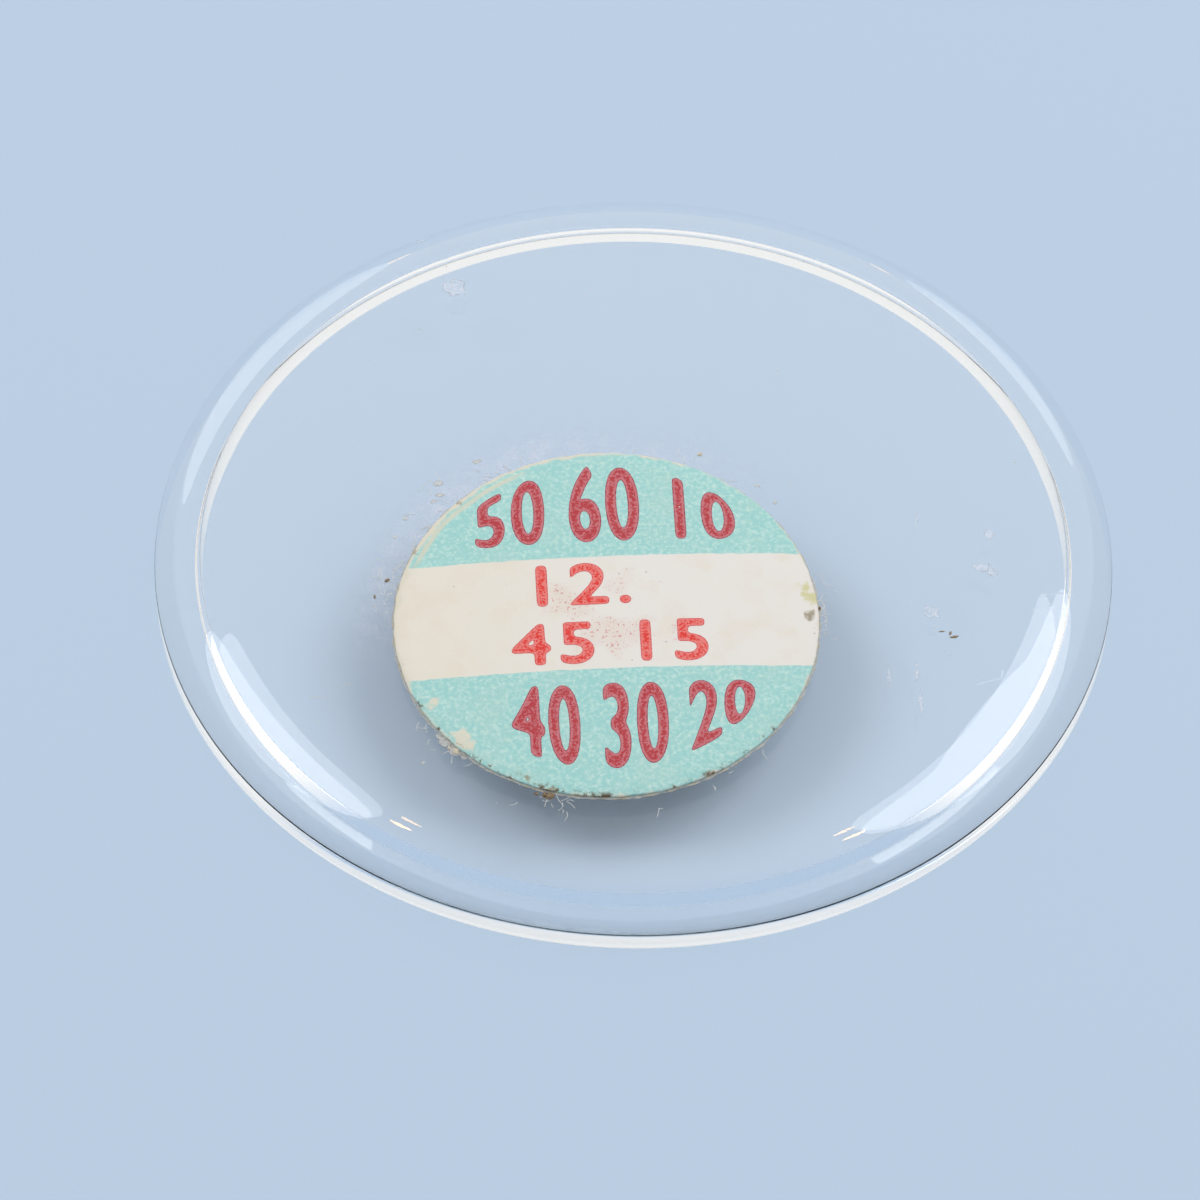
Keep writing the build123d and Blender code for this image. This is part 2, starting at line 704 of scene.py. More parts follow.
def paper_and_ink(tree, flat, along, across, fibres):
    """Paper that is warmer at one side and handled in clouds, with the ink on it."""
    pale_fibres = add_node(
        tree, "ShaderNodeMapRange", {"Value": fibres, "From Min": 0.45, "From Max": 0.7}
    )
    warm_side = add_node(
        tree, "ShaderNodeMapRange", {"Value": along, "From Min": 1, "From Max": -5, "To Max": 0.8}
    )
    clouds = add_node(
        tree,
        "ShaderNodeTexNoise",
        {"Vector": flat, "Scale": 1 / cloud_size, "Detail": 5, "Roughness": 0.6},
    )
    handled = add_node(
        tree,
        "ShaderNodeMapRange",
        {"Value": clouds, "From Min": 0.46, "From Max": 0.66, "To Max": 0.28},
        **eased,
    )
    paper = lay_over(tree, linear("EFEBE5"), (warm_side, "EEE7D8"), (handled, "E9DCC4"))
    ink = lay_over(tree, linear("A4D9D5"), (pale_fibres, "D0EEE6"), (handled, "C2DDD3"))
    return add_node(
        tree,
        "ShaderNodeMix",
        {"Factor": press_mask(tree, flat, across), "A": paper, "B": ink},
        data_type="RGBA",
    )


print("clouds of handling", cloud_size, "mm across")


# %% Printed paper material
label_radius_mm = label_radius / MM
fibre_size = 0.13
fibre_relief = 0.02 * MM


def printed_paper_material():
    """Printed paper, and the marks over it from the lowest up."""
    material, tree = new_material("printed_paper")
    flat, along, across, reach, leaning = label_measures(tree)
    edge_distance = add_node(
        tree, "ShaderNodeMath", {0: label_radius_mm, 1: reach}, operation="SUBTRACT"
    )
    fibres = add_node(
        tree,
        "ShaderNodeTexNoise",
        {"Vector": flat, "Scale": 1 / fibre_size, "Detail": 4, "Roughness": 0.65},
    )
    colour = lay_over(
        tree,
        paper_and_ink(tree, flat, along, across, fibres),
        (rub_mask(tree, flat, edge_distance, leaning), "E6E0CE"),
        (crease_mask(tree, flat, edge_distance, leaning), "DDDCC8"),
        (spots_mask(tree, flat, worn_spots), "EAE2CE"),
        (speck_mask(tree, flat, reach), "D2666B"),
        (spots_mask(tree, flat, glue_stains), "D6D29C"),
        (spots_mask(tree, flat, dirt_spots), "978A70"),
        (grime_mask(tree, flat, edge_distance, across), "6E5F49"),
    )
    bump = add_node(
        tree, "ShaderNodeBump", {"Height": fibres, "Strength": 0.4, "Distance": fibre_relief}
    )
    shader = add_node(
        tree,
        "ShaderNodeBsdfPrincipled",
        {"Base Color": colour, "Roughness": 0.8, "Specular IOR Level": 0.3, "Normal": bump},
    )
    finish_material(tree, shader)
    return material


cut_raggedness = 0.03 * MM
cut_grain = 0.35 * MM
paper_bm = bent_disc(
    dome_radius + adhesive_thickness, paper_thickness, label_radius, cut_raggedness, cut_grain
)
label_paper = place_mesh("printed_label", paper_bm, printed_paper_material())
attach(label_paper, "root")
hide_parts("label_paper")

# %% [markdown]
# ## Aged adhesive
#
# The adhesive that crept out under the paper has gone milky, and dust has stuck to
# it. It shows as a thin, pale, uneven line round the label.


# %% Adhesive film
clot_size = 0.2 * MM


def adhesive_material():
    """A milky film, thicker and dirtier in clots."""
    material, tree = new_material("aged_adhesive")
    place = add_node(tree, "ShaderNodeTexCoord").outputs["Object"]
    clots = add_node(
        tree, "ShaderNodeTexNoise", {"Vector": place, "Scale": 1 / clot_size, "Detail": 4}
    )
    dirt = add_node(
        tree, "ShaderNodeMapRange", {"Value": clots, "From Min": 0.45, "From Max": 0.7}
    )
    colour = lay_over(tree, linear("DEDDD6"), (dirt, "B5AC92"))
    cover = add_node(
        tree,
        "ShaderNodeMapRange",
        {"Value": clots, "From Min": 0.35, "From Max": 0.6, "To Min": 0.25, "To Max": 0.9},
    )
    shader = add_node(
        tree,
        "ShaderNodeBsdfPrincipled",
        {"Base Color": colour, "Roughness": 0.55, "Alpha": cover},
    )
    finish_material(tree, shader)
    return material


adhesive_creep = 0.06 * MM
creep_unevenness = 0.05 * MM
creep_grain = 0.3 * MM
film_radius = label_radius + adhesive_creep
film_bm = bent_disc(
    dome_radius, adhesive_thickness, film_radius, creep_unevenness, creep_grain
)
adhesive_film = place_mesh("adhesive_film", film_bm, adhesive_material())
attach(adhesive_film, "root")
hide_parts("label_adhesive")

# %% [markdown]
# ## Glue haze
#
# The label has been pressed down and peeled up a little, and its glue has left a thin
# haze on the dome beside it, mostly at the upper left. The haze has no thickness to
# speak of, so it is a bare ring just over the dome: the alpha of its shader follows a
# noise, fades outwards, and is kept to the sides where the haze was seen.


# %% Haze material
haze_reach_mm = 8.0
haze_clot_size = 0.5


def haze_material():
    """A thin film that fades outwards, broken by a noise and kept to two sides."""
    material, tree = new_material("glue_haze")
    flat, _, across, reach, leaning = label_measures(tree)
    fade = add_node(
        tree,
        "ShaderNodeMapRange",
        {"Value": reach, "From Min": haze_reach_mm, "From Max": label_radius_mm},
        **eased,
    )
    clots = add_node(
        tree,
        "ShaderNodeTexNoise",
        {"Vector": flat, "Scale": 1 / haze_clot_size, "Detail": 5, "Roughness": 0.65},
    )
    broken = add_node(
        tree,
        "ShaderNodeMapRange",
        {"Value": clots, "From Min": 0.42, "From Max": 0.68, "To Min": 0.1, "To Max": 0.45},
        **eased,
    )
    upper_left = add_node(
        tree, "ShaderNodeMapRange", {"Value": leaning, "From Min": 5.5, "From Max": 8.5}
    )
    upper_right = add_node(
        tree,
        "ShaderNodeMapRange",
        {"Value": across, "From Min": 4, "From Max": 6.5, "To Max": 0.5},
    )
    side = add_node(tree, "ShaderNodeMath", {0: upper_left, 1: upper_right}, operation="MAXIMUM")
    cover = add_node(tree, "ShaderNodeMath", {0: fade, 1: broken}, operation="MULTIPLY")
    cover = add_node(tree, "ShaderNodeMath", {0: cover, 1: side}, operation="MULTIPLY")
    shader = add_node(
        tree,
        "ShaderNodeBsdfPrincipled",
        {"Base Color": linear("E3E4F0"), "Roughness": 0.7, "Alpha": cover},
    )
    finish_material(tree, shader)
    return material


print("haze reaches", haze_reach_mm, "mm from the label's middle")

# %% A ring of haze on the dome
haze_lift = 0.004 * MM
haze_steps = 8
haze_turning_steps = 256

haze_radius = dome_radius + haze_lift
inner_angle = asin(label_radius / haze_radius)
outer_angle = asin(haze_reach_mm * MM / haze_radius)
start = (haze_radius * sin(inner_angle), 0, haze_radius * cos(inner_angle))
haze_bm = bmesh.new()
point = bmesh.ops.create_vert(haze_bm, co=start)["vert"][0]
swing(haze_bm, point, 0, 0, outer_angle - inner_angle, haze_steps)
turn_section(haze_bm, haze_turning_steps)
# An open ring has no inside, so its faces may all point down
if haze_bm.faces[:][0].normal.z < 0:
    bmesh.ops.reverse_faces(haze_bm, faces=haze_bm.faces)
bmesh.ops.transform(haze_bm, matrix=label_place, verts=haze_bm.verts)
glue_haze = place_mesh("glue_haze", haze_bm, haze_material())
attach(glue_haze, "root")

# %% [markdown]
# ## Plain stamped numbers
#
# The label carries the plain numbers of a dial, cut in rubber and stamped. A rubber
# stamp rounds every corner and squeezes its ink outwards, so a stroke has a thin dark
# outline, a pale starved band inside it and a full core. The numbers are set with
# Blender's own typeface and kept as bare outlines. These are grown, cut into short
# even steps and smoothed, which rounds them. The upper and lower rows then follow the
# round edge with their far sides, as an engraver fits words to a disc. They are
# filled, and three insets mark how deep in the stroke each vertex lies, for the ink to
# read. All this is done flat, with one unit to the millimetre: the operators' fixed
# tolerances are too coarse for a thing this small in metres.


# %% Outlines of a row of numbers
letter_space = 1.14
word_space = 0.75
curve_points = 4
# In the typeface's own unit, where a digit is about 0.7 high
doubles_distance = 0.0001
shortest_step = 0.02


def curve_as_bmesh(curve):
    """The surface that the curve makes. The curve itself is taken away."""
    holder = bpy.data.objects.new("holder", curve)
    surface = bpy.data.meshes.new_from_object(holder)
    bm = bmesh.new()
    bm.from_mesh(surface)
    bpy.data.objects.remove(holder)
    bpy.data.curves.remove(curve)
    bpy.data.meshes.remove(surface)
    return bm


def outlines_only(bm):
    """Takes the faces away, and every edge that had a face on both sides."""
    inner_edges = [e for e in bm.edges if not e.is_boundary]
    bmesh.ops.delete(bm, geom=bm.faces[:], context="FACES_ONLY")
    bmesh.ops.delete(bm, geom=inner_edges, context="EDGES")
    bmesh.ops.delete(bm, geom=[v for v in bm.verts if not v.link_edges], context="VERTS")


def set_numbers(text, thinning):
    """The text's outlines, in the typeface's own unit."""
    curve = bpy.data.curves.new("numbers", "FONT")
    curve.body = text
    curve.offset = -thinning
    curve.space_character = letter_space
    curve.space_word = word_space
    curve.resolution_u = curve_points
    bm = curve_as_bmesh(curve)
    bmesh.ops.remove_doubles(bm, verts=bm.verts, dist=doubles_distance)
    outlines_only(bm)
    bmesh.ops.remove_doubles(bm, verts=bm.verts, dist=shortest_step)
    return bm


def fit_to_box(bm, left, right, bottom, top):
    """Stretches the outlines to a box in the print's own millimetres."""
    low = [min(v.co[axis] for v in bm.verts) for axis in (0, 1)]
    high = [max(v.co[axis] for v in bm.verts) for axis in (0, 1)]
    stretch = ((right - left) / (high[0] - low[0]), (top - bottom) / (high[1] - low[1]), 1)
    bmesh.ops.translate(bm, verts=bm.verts, vec=(-low[0], -low[1], 0))
    bmesh.ops.scale(bm, verts=bm.verts, vec=stretch)
    bmesh.ops.translate(bm, verts=bm.verts, vec=(left, bottom, 0))


print("letters", letter_space, "times as far apart as the typeface sets them")


# %% Grow and round the outlines
outline_step = 0.05


def fill_flat(bm):
    """Fills closed outlines with faces that look up."""
    bmesh.ops.triangle_fill(bm, edges=bm.edges[:], use_beauty=True, normal=(0, 0, 1))
    bm.normal_update()
    bmesh.ops.reverse_faces(bm, faces=[f for f in bm.faces if f.normal.z < 0])


def grow(bm, amount):
    """Widens every stroke by that much on each side."""
    fill_flat(bm)
    outside = bmesh.ops.inset_region(
        bm, faces=bm.faces[:], thickness=-amount, use_boundary=True, use_even_offset=True
    )
    bmesh.ops.delete(bm, geom=outside["faces"], context="FACES")
    outlines_only(bm)


def round_off(bm, passes):
    """Cuts the outlines into short steps and smooths them."""
    long_edges = bm.edges[:]
    while long_edges:
        bmesh.ops.subdivide_edges(bm, edges=long_edges, cuts=1)
        long_edges = [e for e in bm.edges if e.calc_length() > outline_step]
    for _ in range(passes):
        bmesh.ops.smooth_vert(
            bm, verts=bm.verts, factor=0.5, use_axis_x=True, use_axis_y=True
        )


print("outlines in steps of at most", outline_step, "mm")


# %% How deep in the stroke
shares_of_an_inset = (1, 0.8, 0.6, 0.4, 0.2, 0.1)
least_share_kept = 0.85


def mark_depths(bm, depths):
    """Insets the strokes at these depths, and stores the depth on every vertex.

    Where a stroke is narrower than two depths, as at its end, the vertices of its two
    sides would pass each other, so each is drawn back until it keeps to its own side.
    """
    layer = bm.verts.layers.float.new("stroke_depth")
    outline = KDTree(len(bm.verts))
    for number, vertex in enumerate(bm.verts):
        outline.insert(vertex.co, number)
    outline.balance()
    core = bm.faces[:]
    passed = 0
    for depth in depths:
        bmesh.ops.inset_region(bm, faces=core, thickness=depth - passed, use_boundary=True)
        inner = {v for f in core for v in f.verts}
        for vertex in inner:
            neighbours = [e.other_vert(vertex) for e in vertex.link_edges]
            outer = next(v for v in neighbours if v not in inner)
            target = vertex.co.copy()
            for share in shares_of_an_inset:
                vertex.co = outer.co.lerp(target, share)
                vertex[layer] = outer[layer] + share * (depth - passed)
                _, _, to_outline = outline.find(vertex.co)
                if to_outline > least_share_kept * vertex[layer]:
                    break
        passed = depth
    bm.normal_update()
    folded = [f for f in bm.faces if f.normal.z <= 0]
    bmesh.ops.delete(bm, geom=folded, context="FACES")


def cut_into_strips(bm, pitch):
    """Cuts a flat mesh across both ways, so that it can bend with the dome."""
    for axis, normal in enumerate(((1, 0, 0), (0, 1, 0))):
        first = floor(min(v.co[axis] for v in bm.verts) / pitch)
        last = ceil(max(v.co[axis] for v in bm.verts) / pitch)
        for step in range(first, last + 1):
            bmesh.ops.bisect_plane(
                bm,
                geom=bm.verts[:] + bm.edges[:] + bm.faces[:],
                plane_co=Vector(normal) * pitch * step,
                plane_no=normal,
            )


print("inset vertices are drawn back in", len(shares_of_an_inset), "tries")


# %% [markdown]
# ## Stamp ink
#
# The ink is a matt pigment film. Its colour goes from the outline through the starved
# band to the core as the stored depth grows, and a noise as fine as the paper's fibres
# shifts those borders, so that the core breaks up into blotches.


# %% Stamp ink
blotch_size = 0.085
border_shift = 0.16
blotch_shift = 0.45


def ink_material(name, outline, starved, full):
    """Stamp ink on uncoated paper: a matt pigment film that the fibres break up."""
    material, tree = new_material(name)
    flat = label_coordinates(tree)
    depth = add_node(tree, "ShaderNodeAttribute", attribute_name="stroke_depth").outputs["Fac"]
    mottle = add_node(
        tree,
        "ShaderNodeTexNoise",
        {"Vector": flat, "Scale": 1 / blotch_size, "Detail": 3, "Roughness": 0.7},
    )
    uneven = add_node(
        tree, "ShaderNodeMath", {0: mottle, 1: border_shift, 2: depth}, operation="MULTIPLY_ADD"
    )
    blotched = add_node(
        tree, "ShaderNodeMath", {0: mottle, 1: blotch_shift, 2: depth}, operation="MULTIPLY_ADD"
    )
    inside = add_node(
        tree,
        "ShaderNodeMapRange",
        {"Value": uneven, "From Min": 0.085, "From Max": 0.115},
        **eased,
    )
    core = add_node(
        tree,
        "ShaderNodeMapRange",
        {"Value": blotched, "From Min": 0.29, "From Max": 0.35},
        **eased,
    )
    colour = lay_over(tree, linear(outline), (inside, starved), (core, full))
    shader = add_node(
        tree,
        "ShaderNodeBsdfPrincipled",
        {"Base Color": colour, "Roughness": 0.6, "Specular IOR Level": 0.35},
    )
    finish_material(tree, shader)
    return material


crimson_ink = ink_material("crimson_stamp_ink", "9C3448", "CC7A80", "B83A42")
red_ink = ink_material("red_stamp_ink", "D8464C", "EE8680", "E5362F")
print("inks", crimson_ink.name, red_ink.name)

# %% A stamped row
ink_lift = 0.004 * MM
strip_width = 0.5


def stamp(name, text, box, ink, thinning, growth, passes, depths, arc_radius=0, arc_side=1):
    """A row of numbers as a thin film of ink on the label, in a box of the print."""
    left, right, bottom, top = box
    bm = set_numbers(text, thinning)
    fit_to_box(bm, left + growth, right - growth, bottom + growth, top - growth)
    grow(bm, growth)
    round_off(bm, passes)
    if arc_radius:
        straight, far = (bottom, top) if arc_side > 0 else (top, bottom)
        for vertex in bm.verts:
            arc = arc_side * sqrt(arc_radius**2 - vertex.co.x**2)
            share = (vertex.co.y - straight) / (far - straight)
            vertex.co.y = straight + share * (arc - straight)
    fill_flat(bm)
    mark_depths(bm, depths)
    cut_into_strips(bm, strip_width)
    print_place = Matrix.Rotation(print_turn, 4, "Z") @ Matrix.Scale(MM, 4)
    bmesh.ops.transform(bm, matrix=print_place, verts=bm.verts)
    film_radius = paper_top_radius + ink_lift
    for vertex in bm.verts:
        vertex.co.z = sqrt(film_radius**2 - vertex.co.x**2 - vertex.co.y**2)
    bmesh.ops.transform(bm, matrix=label_place, verts=bm.verts)
    piece = place_mesh(name, bm, ink)
    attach(piece, "root")


print("ink lies", ink_lift / MM, "mm over the paper")

# %% Stamp the four rows
# The boxes are left, right, bottom and top in the print's millimetres
upper_arc_radius = 5.8
lower_arc_radius = 5.45
crimson_stamp = {
    "ink": crimson_ink,
    "thinning": 0.01,
    "growth": 0.09,
    "passes": 28,
    "depths": (0.04, 0.08, 0.12),
}
red_stamp = {
    "ink": red_ink,
    "thinning": 0,
    "growth": 0.05,
    "passes": 14,
    "depths": (0.035, 0.07, 0.1),
}
upper_box = (-3.8, 4.05, 2.8, 5.8)
lower_box = (-3.0, 4.3, -5.4, -2.4)
stamp("numbers_upper", "50 60 10", upper_box, arc_radius=upper_arc_radius, **crimson_stamp)
stamp(
    "numbers_lower",
    "40 30 20",
    lower_box,
    arc_radius=lower_arc_radius,
    arc_side=-1,
    **crimson_stamp,
)
stamp("numbers_band_upper", "12.", (-2.05, 0.8, 0.44, 2.04), **red_stamp)
stamp("numbers_band_lower", "45 15", (-2.9, 3.0, -1.7, -0.14), **red_stamp)

# %% [markdown]
# ## Lint and dust
#
# Sticky glue at a label's edge holds cotton and paper fibres, and a dry dome gathers
# specks. A fibre here is a short curve that wanders over the dome, with a round
# section. A speck is a flattened icosphere with few faces. A fixed seed puts them in
# the same places in every run. What lies on the moulding is set on the dome's arc or,
# further out, on the shoulder's.


# %% Places on the moulding
dome_edge = dome_radius * sin(dome_edge_slope)


def arc_centre(x, y):
    """The middle of the dome's arc or of the shoulder's, whichever x, y lies on."""
    reach = hypot(x, y)
    if reach < dome_edge:
        return Vector((0, 0, dome_centre_z)), dome_radius
    return Vector((shoulder_x * x / reach, shoulder_x * y / reach, shoulder_z)), shoulder_radius


def on_moulding(x, y, lift):
    """The point above x, y that stands that far off the moulding."""
    centre, radius = arc_centre(x, y)
    sideways = hypot(x - centre.x, y - centre.y)
    return Vector((x, y, centre.z + sqrt((radius + lift) ** 2 - sideways**2)))


print("the dome's arc ends", round(dome_edge / MM, 2), "mm from the axis")


# %% One fibre
lint_radius = 0.009 * MM
lint_lift = 0.01 * MM
steady_bend = 0.5
restless_bend = 0.35
rise_share = 0.25


def wandering_fibre(curve, chance, start, heading, length, points):
    """Adds a curled fibre that starts on the moulding and waves just over it."""
    spline = curve.splines.new("NURBS")
    spline.points.add(points - 1)
    bend = chance.uniform(-steady_bend, steady_bend)
    x, y = start
    step = length / (points - 1)
    for number in range(points):
        rise = lint_lift + step * rise_share * (1 + sin(3 * number * bend)) * (number > 0)
        spline.points[number].co = (*on_moulding(x, y, rise), 1)
        heading += bend + chance.uniform(-restless_bend, restless_bend)
        x += step * cos(heading)
        y += step * sin(heading)
    spline.order_u = 3
    spline.use_endpoint_u = True


def fibre_curve(radius):
    """An empty curve that gives its splines a round section with few sides."""
    curve = bpy.data.curves.new("fibres", "CURVE")
    curve.dimensions = "3D"
    curve.bevel_depth = radius
    curve.bevel_resolution = 1
    curve.resolution_u = 4
    curve.use_fill_caps = True
    return curve


print("fibres", 2 * lint_radius / MM, "mm thick")

# %% Where lint has gathered
# Round the label: middle and spread in degrees, and how many fibres
lint_patches = (
    (150, 14, 26),
    (168, 6, 16),
    (128, 8, 10),
    (5, 6, 26),
    (60, 10, 8),
    (222, 5, 16),
    (256, 4, 10),
    (300, 25, 6),
)
# The longer fibres: where each starts from the label's middle, heading and length
long_fibres = (
    (-6.85, 2.05, -35, 0.5),
    (-6.8, 2.0, -50, 0.45),
    (-6.45, 1.65, 0, 0.3),
    (-6.75, 1.4, 235, 0.4),
    (-5.75, 5.0, 20, 0.6),
    (-5.5, 5.1, 5, 0.4),
    (-5.25, 5.75, -55, 0.45),
    (-6.2, 4.1, 10, 0.4),
    (6.4, 1.75, -65, 0.55),
    (6.35, 0.6, 10, 0.45),
    (6.3, 0.55, -60, 0.35),
    (-1.62, -6.25, 272, 0.4),
    (-1.42, -6.1, 282, 0.6),
    (-1.2, -6.72, 5, 0.15),
    (-7.9, -2.3, 70, 0.35),
    (-8.8, -2.55, 20, 0.5),
)
print(sum(count for _, _, count in lint_patches), "short and", len(long_fibres), "longer fibres")

# %% Fibres round the label
seed = 7
scatter = 0.26
turned_aside = 2.2
shortest_fibre, longest_fibre = 0.1, 0.4
fibre_merge_distance = 0.0005 * MM
chance = Random(seed)
curve = fibre_curve(lint_radius)
for middle, spread, count in lint_patches:
    for _ in range(count):
        angle = radians(chance.gauss(middle, spread))
        away = label_radius + abs(chance.gauss(0, scatter)) * MM
        start = (label_x + away * cos(angle), label_y + away * sin(angle))
        heading = angle + chance.uniform(-turned_aside, turned_aside)
        length = chance.uniform(shortest_fibre, longest_fibre) * MM
        wandering_fibre(curve, chance, start, heading, length, points=5)
for along, across, heading, length in long_fibres:
    start = (label_x + along * MM, label_y + across * MM)
    wandering_fibre(curve, chance, start, radians(heading), length * MM, points=6)

lint_bm = curve_as_bmesh(curve)
bmesh.ops.remove_doubles(lint_bm, verts=lint_bm.verts, dist=fibre_merge_distance)
bmesh.ops.recalc_face_normals(lint_bm, faces=lint_bm.faces)
cotton = rough_material("cotton_lint", "EDEDEA", 0.9, alpha=0.85)
lint = place_mesh("label_lint", lint_bm, cotton)
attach(lint, "root")

# %% Dust on the dome
speck_count = 90
smallest_speck, largest_speck = 0.012, 0.034
# Half of a speck or lump is 0.5 of its size high, so at 0.4 it is sunk a little
seat_share = 0.4

dust_bm = bmesh.new()
for _ in range(speck_count):
    reach = dome_edge_slope * dome_radius * sqrt(chance.random())
    angle = chance.uniform(0, 2 * pi)
    size = chance.uniform(smallest_speck, largest_speck) * MM
    seat_x, seat_y = reach * cos(angle), reach * sin(angle)
    on_label = hypot(seat_x - label_x, seat_y - label_y) < label_radius + size
    ground = adhesive_thickness + paper_thickness if on_label else 0
    seat = on_moulding(seat_x, seat_y, ground + size * seat_share)
    flat_speck = Matrix.Diagonal((1, chance.uniform(0.5, 1), 0.5, 1))
    spun = Matrix.Rotation(chance.uniform(0, pi), 4, "Z")
    bmesh.ops.create_icosphere(
        dust_bm,
        subdivisions=1,
        radius=size,
        matrix=Matrix.Translation(seat) @ spun @ flat_speck,
    )
dust = place_mesh("dome_dust", dust_bm, rough_material("house_dust", "E4E4E0", 0.95))
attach(dust, "root")

# %% [markdown]
# ## Lumps of glue, crumbs and smears
#
# At the lower left, squeezed-out glue has set in a milky lump. A few crumbs have stuck
# to the label's edge and to the dome, and finger grease and dried drops have left
# faint, flat smears. Each of them is an icosphere that is pressed flat and turned, with
# its surface pushed in and out by a smooth noise. They let a little light through, the
# smears the most, and a fine noise breaks them up.


# %% Lumps on the dome
unevenness = 0.7
bulges_across = 3


def lump(bm, place, size, turn):
    """One uneven lump. Its place is from the label's middle, and all is in mm."""
    made = bmesh.ops.create_icosphere(bm, subdivisions=3, radius=0.5)["verts"]
    for vertex in made:
        bulge = noise.noise(vertex.co * bulges_across + Vector((*place, 0)))
        vertex.co *= 1 + unevenness * bulge
    x, y = label_x + place[0] * MM, label_y + place[1] * MM
    seat = on_moulding(x, y, seat_share * size[2] * MM)
    outwards = seat - arc_centre(x, y)[0]
    upright = Vector((0, 0, 1)).rotation_difference(outwards)
    laid = (
        Matrix.Translation(seat)
        @ upright.to_matrix().to_4x4()
        @ Matrix.Rotation(radians(turn), 4, "Z")
        @ Matrix.Diagonal((*size, 1))
        @ Matrix.Scale(MM, 4)
    )
    bmesh.ops.transform(bm, matrix=laid, verts=made)


def lumps(name, places, shader):
    """A piece of lumps, each given as x, y, length, width, height and turn."""
    bm = bmesh.new()
    for x, y, length, width, height, turn in places:
        lump(bm, (x, y), (length, width, height), turn)
    piece = place_mesh(name, bm, shader)
    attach(piece, "root")


print("lumps bulge by up to", unevenness, "of their size")


# %% Materials of the lumps
def broken_film_material(name, colour, thin, thick, grain):
    """A film that lets some light through, and that a fine noise breaks up."""
    material, tree = new_material(name)
    place = add_node(tree, "ShaderNodeTexCoord").outputs["Object"]
    clots = add_node(
        tree,
        "ShaderNodeTexNoise",
        {"Vector": place, "Scale": 1 / grain, "Detail": 3, "Roughness": 0.65},
    )
    cover = add_node(
        tree,
        "ShaderNodeMapRange",
        {"Value": clots, "From Min": 0.4, "From Max": 0.65, "To Min": thin, "To Max": thick},
    )
    film = add_node(
        tree,
        "ShaderNodeBsdfPrincipled",
        {"Base Color": linear(colour), "Roughness": 0.6, "Alpha": cover},
    )
    finish_material(tree, film)
    return material


milky_glue = broken_film_material("milky_glue", "E2E0DA", 0.3, 0.65, 0.12 * MM)
cream_crumb = broken_film_material("cream_crumbs", "E9DDC4", 0.75, 1, 0.06 * MM)
brown_crumb = broken_film_material("brown_crumbs", "927B5C", 0.7, 1, 0.06 * MM)
grease = broken_film_material("grease_smear", "EEF0F8", 0.02, 0.4, 0.14 * MM)
print("films", [m.name for m in (milky_glue, cream_crumb, brown_crumb, grease)])

# %% Glue and crumbs
lumps(
    "glue_lumps",
    (
        (-4.75, -4.32, 0.62, 0.3, 0.08, -48),
        (-4.42, -4.68, 0.5, 0.26, 0.08, -30),
        (-4.13, -4.9, 0.2, 0.14, 0.05, 0),
        (-5.35, -5.04, 0.11, 0.09, 0.04, 0),
        (-5.17, 5.3, 0.22, 0.26, 0.04, 70),
        (-5.1, 4.85, 0.26, 0.14, 0.03, 0),
        (-5.28, 4.6, 0.2, 0.12, 0.03, 20),
        (-6.42, 3.25, 0.12, 0.14, 0.03, 0),
        (-6.12, 3.95, 0.2, 0.14, 0.03, 40),
        (-4.0, 6.15, 0.3, 0.14, 0.03, 10),
        (4.48, 5.32, 0.16, 0.12, 0.03, 0),
        (5.02, 4.68, 0.14, 0.1, 0.03, 0),
    ),
    milky_glue,
)
lumps(
    "cream_crumbs",
    (
        (-4.38, -4.7, 0.26, 0.14, 0.1, -35),
        (-4.6, -4.58, 0.12, 0.08, 0.08, 10),
        (2.74, 6.47, 0.14, 0.12, 0.08, 0),
    ),
    cream_crumb,
)
lumps(
    "brown_crumbs",
    (
        (-1.57, -6.3, 0.26, 0.18, 0.14, 15),
        (-1.72, -6.24, 0.16, 0.12, 0.1, 60),
        (-1.97, -6.2, 0.13, 0.08, 0.06, 0),
        (6.36, 0.68, 0.12, 0.1, 0.1, 0),
        (-6.6, 1.58, 0.16, 0.1, 0.07, 20),
        (-6.95, 1.0, 0.06, 0.14, 0.04, 10),
        (10.05, 0.25, 0.16, 0.05, 0.02, 10),
        (10.3, 0.22, 0.13, 0.08, 0.02, 70),
        (10.42, 0.1, 0.24, 0.09, 0.02, 15),
    ),
    brown_crumb,
)

# %% Smears
lumps(
    "smears",
    (
        (-4.85, 13.78, 0.62, 0.72, 0.01, 10),
        (-5.96, 16.5, 0.42, 0.3, 0.04, 20),
        (11.3, 2.86, 0.52, 0.36, 0.01, 10),
        (11.6, 2.7, 0.3, 0.28, 0.01, 0),
        (11.5, 4.2, 0.3, 0.4, 0.01, 0),
        (9.75, 0.95, 0.46, 0.36, 0.01, -30),
        (9.29, -1.3, 0.12, 0.62, 0.01, 0),
        (9.41, -2.4, 0.12, 0.7, 0.01, 5),
        (8.45, -1.5, 0.1, 0.55, 0.01, 5),
        (9.3, 4.4, 0.07, 0.55, 0.01, -8),
    ),
    grease,
)

# %% [markdown]
# ## The floor
#
# The floor is a plain pale sheet, a hair below the foot: real feet touch only here and
# there, and the thin air gap is what makes the rim light up from inside.

# %% Floor
floor_size = 1.2
air_gap = 0.02 * MM

floor_bm = bmesh.new()
bmesh.ops.create_grid(
    floor_bm,
    x_segments=1,
    y_segments=1,
    size=floor_size / 2,
    matrix=Matrix.Translation((0, 0, -air_gap)),
)
studio_floor = place_mesh("floor", floor_bm, rough_material("plain_floor", "BFD3E8", 0.7))

